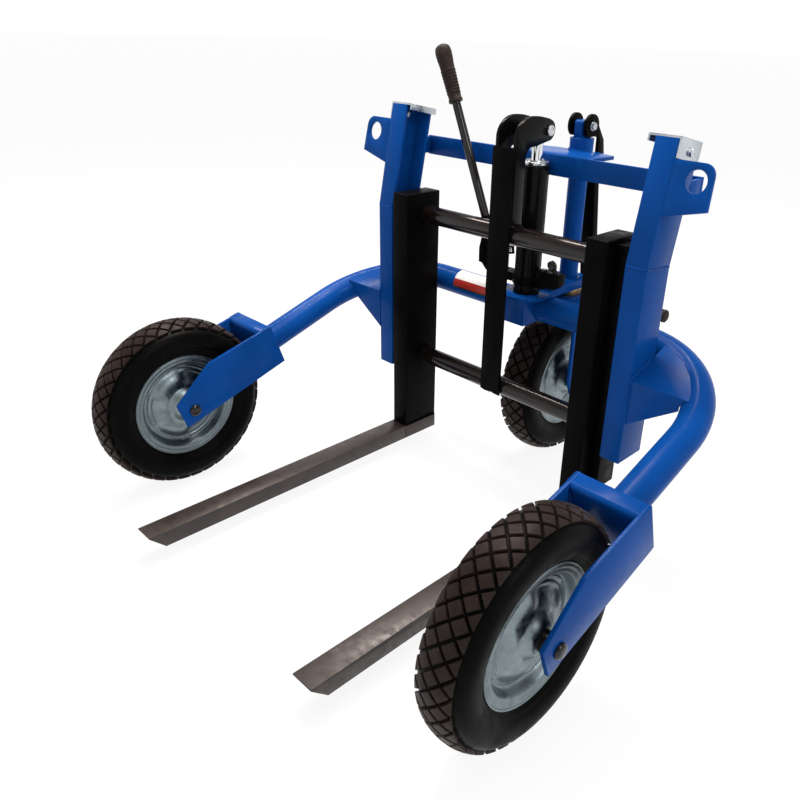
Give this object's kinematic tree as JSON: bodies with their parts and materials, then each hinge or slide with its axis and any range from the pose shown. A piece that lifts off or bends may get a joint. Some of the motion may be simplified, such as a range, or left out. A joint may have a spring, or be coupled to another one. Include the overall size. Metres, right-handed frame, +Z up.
{
  "type": "rough-terrain pallet truck",
  "caption": "Manual pallet fork truck: U-shaped tube frame on large pneumatic tyres, twin masts, hand-pumped jack and fixed low forks.",
  "frame": {"origin": "on the ground, under the centre of the part's bounding box", "axes": "+Z up, the fork tips point along -Y, the steered rear wheel is at +Y and +X is the right side seen from behind"},
  "size_m": [1.2006, 1.226, 0.9802],
  "materials": {
    "blue_paint": "gloss",
    "black_paint": "satin",
    "zinc": "satin zinc plate",
    "steel": "turned",
    "chrome": "polished",
    "tyre": "matt",
    "grip": "matt",
    "nylon": "matt",
    "bronze": "turned",
    "label": "printed film, plain"
  },
  "bodies": {
    "frame": {"frame_tube": "blue_paint", "mast_lower_left": "blue_paint", "mast_lower_right": "blue_paint", "mast_upper_left": "blue_paint", "mast_upper_right": "blue_paint", "stop_bracket_left": "zinc", "stop_bracket_right": "zinc", "stop_bolt_left": "zinc", "stop_bolt_right": "zinc", "crossbar": "blue_paint", "column_plate": "blue_paint", "column_sleeve": "blue_paint", "side_bracket_left": "blue_paint", "side_bracket_right": "blue_paint", "wheel_yoke_left": "blue_paint", "wheel_yoke_right": "blue_paint", "axle_left": "black_paint", "axle_right": "black_paint", "jack_seat": "blue_paint", "jack_cylinder": "black_paint", "jack_gland": "steel", "pump_block": "black_paint", "lever_pivot": "black_paint", "steer_housing": "blue_paint", "steer_bush": "bronze", "label_plate": "label"},
    "wheel_left": {"rim_left": "zinc", "tyre_left": "tyre", "bearing_left": "black_paint"},
    "wheel_right": {"rim_right": "zinc", "tyre_right": "tyre", "bearing_right": "black_paint"},
    "carriage": {"post_left": "black_paint", "post_right": "black_paint", "fork_left": "black_paint", "fork_right": "black_paint", "guide_rail_left": "black_paint", "guide_rail_right": "black_paint", "slide_pad_left": "nylon", "slide_pad_right": "nylon", "bar_upper": "black_paint", "bar_lower": "black_paint", "lift_channel": "black_paint", "lift_pin": "steel", "ram": "chrome"},
    "lever": {"lever_socket": "black_paint", "lever_rod": "black_paint", "lever_grip": "grip"},
    "plunger": {"plunger": "steel"},
    "release": {"release_knob": "black_paint"},
    "steer": {"steer_column": "blue_paint", "steer_yoke": "blue_paint", "axle_rear": "black_paint"},
    "wheel_rear": {"rim_rear": "zinc", "tyre_rear": "tyre", "bearing_rear": "black_paint"},
    "drawbar": {"drawbar": "black_paint", "drawbar_grip_left": "grip", "drawbar_grip_right": "grip", "drawbar_bolt": "steel"}
  },
  "joints": [
    {"name": "wheel_left_spin", "type": "hinge", "parent": "frame", "child": "wheel_left", "pos_m": [-0.521, -0.38, 0.2], "axis": [1, 0, 0], "continuous": true},
    {"name": "wheel_right_spin", "type": "hinge", "parent": "frame", "child": "wheel_right", "pos_m": [0.521, -0.38, 0.2], "axis": [1, 0, 0], "continuous": true},
    {"name": "carriage_lift", "type": "slide", "parent": "frame", "child": "carriage", "axis": [0, 0, 1], "range_m": [0, 0.178]},
    {"name": "lever_swing", "type": "hinge", "parent": "frame", "child": "lever", "pos_m": [-0.125, 0.248, 0.5375], "axis": [0, -1, 0], "range_deg": [-25, 6]},
    {"name": "plunger_slide", "type": "slide", "parent": "frame", "child": "plunger", "axis": [0, 0, 1], "range_m": [-0.0262, 0.0065]},
    {"name": "release_turn", "type": "hinge", "parent": "frame", "child": "release", "pos_m": [0.086, 0.248, 0.518], "axis": [-0.6428, 0, 0.766], "range_deg": [-75, 75]},
    {"name": "steer_turn", "type": "hinge", "parent": "frame", "child": "steer", "pos_m": [0, 0.413, 0.6], "axis": [0, 0, 1], "range_deg": [-35, 35]},
    {"name": "wheel_rear_spin", "type": "hinge", "parent": "steer", "child": "wheel_rear", "pos_m": [0, 0.413, 0.2], "axis": [1, 0, 0], "continuous": true},
    {"name": "drawbar_lift", "type": "hinge", "parent": "steer", "child": "drawbar", "pos_m": [0, 0.413, 0.822], "axis": [1, 0, 0], "range_deg": [0, 95]}
  ],
  "couplings": [
    {"joint": "plunger_slide", "follows": "lever_swing", "m_per_rad": 0.0595}
  ]
}
